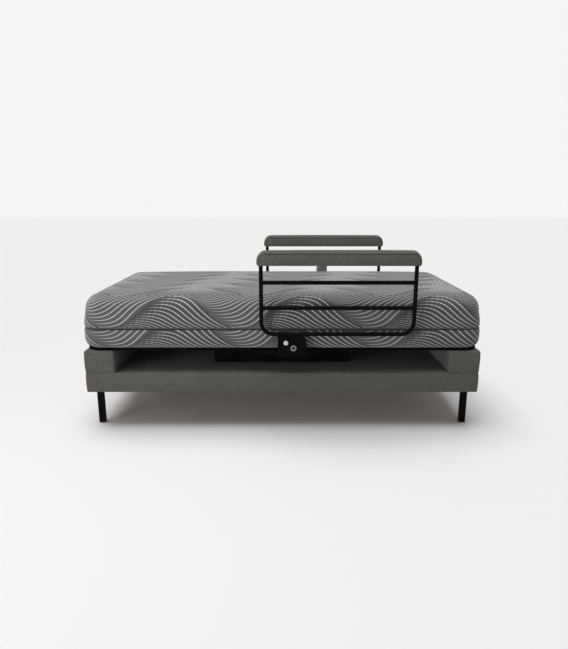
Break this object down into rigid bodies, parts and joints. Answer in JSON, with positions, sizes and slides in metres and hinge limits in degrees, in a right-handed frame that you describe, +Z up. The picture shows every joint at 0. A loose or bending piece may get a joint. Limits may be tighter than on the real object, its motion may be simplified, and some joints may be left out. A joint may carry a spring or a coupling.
{
  "type": "adjustable bed",
  "caption": "Powered adjustable bed: upholstered base on legs, central swivel, jointed deck with a thick mattress, swing-up padded side rails and a hand control.",
  "frame": {"origin": "on the floor, under the middle of the bed", "axes": "+X towards the head end, +Y from the near side to the far side, +Z up"},
  "size_m": [2.032, 1.098, 0.935],
  "materials": {
    "upholstery": "matte",
    "ticking": "matte",
    "black_steel": "satin",
    "zinc_steel": "satin",
    "timber": "matte",
    "deck_board": "matte",
    "black_plastic": "matte",
    "white_plastic": "gloss",
    "grey_plastic": "matte",
    "key_rubber": "matte"
  },
  "bodies": {
    "base": {"base_frame": "timber", "base_top_board": "timber", "base_cover": "upholstery", "leg_foot_near": "black_steel", "leg_foot_far": "black_steel", "leg_head_near": "black_steel", "leg_head_far": "black_steel", "leg_glides": "black_plastic", "base_fasteners": "zinc_steel", "foot_block_core": "timber", "foot_block_cover": "upholstery", "head_block_core": "timber", "head_block_cover": "upholstery", "swivel_base_plate": "black_steel", "slewing_ring_outer": "zinc_steel", "slewing_balls": "zinc_steel"},
    "turntable": {"slewing_ring_inner": "zinc_steel", "turntable_plate": "black_steel", "swivel_skirt": "black_steel", "skirt_bolts": "zinc_steel", "swivel_motor": "black_plastic", "control_box": "black_plastic", "back_actuator": "black_plastic", "leg_actuator": "black_plastic", "seat_frame": "black_steel", "seat_board": "deck_board", "hinge_pins": "zinc_steel", "near_rail_bracket": "black_steel", "far_rail_bracket": "black_steel", "rail_pivot_bolts": "zinc_steel", "mattress_seat": "ticking", "mattress_hip_fold": "ticking", "mattress_thigh_fold": "ticking"},
    "back": {"back_frame": "black_steel", "back_board": "deck_board", "mattress_back": "ticking"},
    "thigh": {"thigh_frame": "black_steel", "thigh_board": "deck_board", "knee_pins": "zinc_steel", "mattress_thigh": "ticking"},
    "calf": {"calf_frame": "black_steel", "calf_board": "deck_board", "mattress_calf": "ticking"},
    "back_rod": {"back_actuator_rod": "zinc_steel"},
    "leg_rod": {"leg_actuator_rod": "zinc_steel"},
    "pinion": {"swivel_pinion": "zinc_steel"},
    "near_rail": {"near_rail_frame": "black_steel", "near_rail_crossbars": "black_steel", "near_armrest_board": "timber", "near_armrest_pad": "upholstery"},
    "far_rail": {"far_rail_frame": "black_steel", "far_rail_crossbars": "black_steel", "far_armrest_board": "timber", "far_armrest_pad": "upholstery"},
    "near_button": {"near_release_button": "white_plastic"},
    "far_button": {"far_release_button": "white_plastic"},
    "handset": {"handset_case": "grey_plastic"},
    "back_key": {"handset_back_key": "key_rubber"},
    "legs_key": {"handset_legs_key": "key_rubber"},
    "swivel_key": {"handset_swivel_key": "key_rubber"}
  },
  "joints": [
    {"name": "swivel", "type": "hinge", "parent": "base", "child": "turntable", "pos_m": [0, 0, 0.317], "axis": [0, 0, 1], "range_deg": [0, 90]},
    {"name": "back_raise", "type": "hinge", "parent": "turntable", "child": "back", "pos_m": [0.23, 0, 0.406], "axis": [0, -1, 0], "range_deg": [0, 60], "deforming": ["mattress_hip_fold"]},
    {"name": "thigh_raise", "type": "hinge", "parent": "turntable", "child": "thigh", "pos_m": [-0.15, 0, 0.406], "axis": [0, 1, 0], "range_deg": [0, 30], "deforming": ["mattress_thigh_fold"]},
    {"name": "knee", "type": "hinge", "parent": "thigh", "child": "calf", "pos_m": [-0.5, 0, 0.406], "axis": [0, 1, 0], "range_deg": [-30, 0]},
    {"name": "back_rod_slide", "type": "slide", "parent": "turntable", "child": "back_rod", "axis": [1, 0, 0], "range_m": [0, 0.0551]},
    {"name": "leg_rod_slide", "type": "slide", "parent": "turntable", "child": "leg_rod", "axis": [-1, 0, 0], "range_m": [0, 0.0286]},
    {"name": "pinion_spin", "type": "hinge", "parent": "turntable", "child": "pinion", "pos_m": [0, 0.224, 0.317], "axis": [0, 0, 1], "range_deg": [0, 540]},
    {"name": "near_rail_swing", "type": "hinge", "parent": "turntable", "child": "near_rail", "pos_m": [0.057, -0.519, 0.448], "axis": [0, -1, 0], "range_deg": [0, 60]},
    {"name": "far_rail_swing", "type": "hinge", "parent": "turntable", "child": "far_rail", "pos_m": [0.057, 0.519, 0.448], "axis": [0, -1, 0], "range_deg": [0, 60]},
    {"name": "near_button_press", "type": "slide", "parent": "near_rail", "child": "near_button", "axis": [0, 1, 0], "range_m": [0, 0.005], "stiffness_N_per_m": 600},
    {"name": "far_button_press", "type": "slide", "parent": "far_rail", "child": "far_button", "axis": [0, -1, 0], "range_m": [0, 0.005], "stiffness_N_per_m": 600},
    {"name": "handset_lift", "type": "slide", "parent": "far_rail", "child": "handset", "axis": [0, 0, 1], "range_m": [0, 0.03]},
    {"name": "swivel_key_rock", "type": "hinge", "parent": "handset", "child": "swivel_key", "pos_m": [0.263, 0.493, 0.682], "axis": [1, 0, 0], "range_deg": [-4, 4], "stiffness_Nm_per_rad": 0.05},
    {"name": "legs_key_rock", "type": "hinge", "parent": "handset", "child": "legs_key", "pos_m": [0.263, 0.493, 0.722], "axis": [1, 0, 0], "range_deg": [-4, 4], "stiffness_Nm_per_rad": 0.05},
    {"name": "back_key_rock", "type": "hinge", "parent": "handset", "child": "back_key", "pos_m": [0.263, 0.493, 0.762], "axis": [1, 0, 0], "range_deg": [-4, 4], "stiffness_Nm_per_rad": 0.05}
  ],
  "couplings": [
    {"joint": "knee", "follows": "thigh_raise", "ratio": -1},
    {"joint": "back_rod_slide", "follows": "back_raise", "m_per_rad": 0.052521},
    {"joint": "leg_rod_slide", "follows": "thigh_raise", "m_per_rad": 0.054374},
    {"joint": "pinion_spin", "follows": "swivel", "ratio": 6}
  ]
}
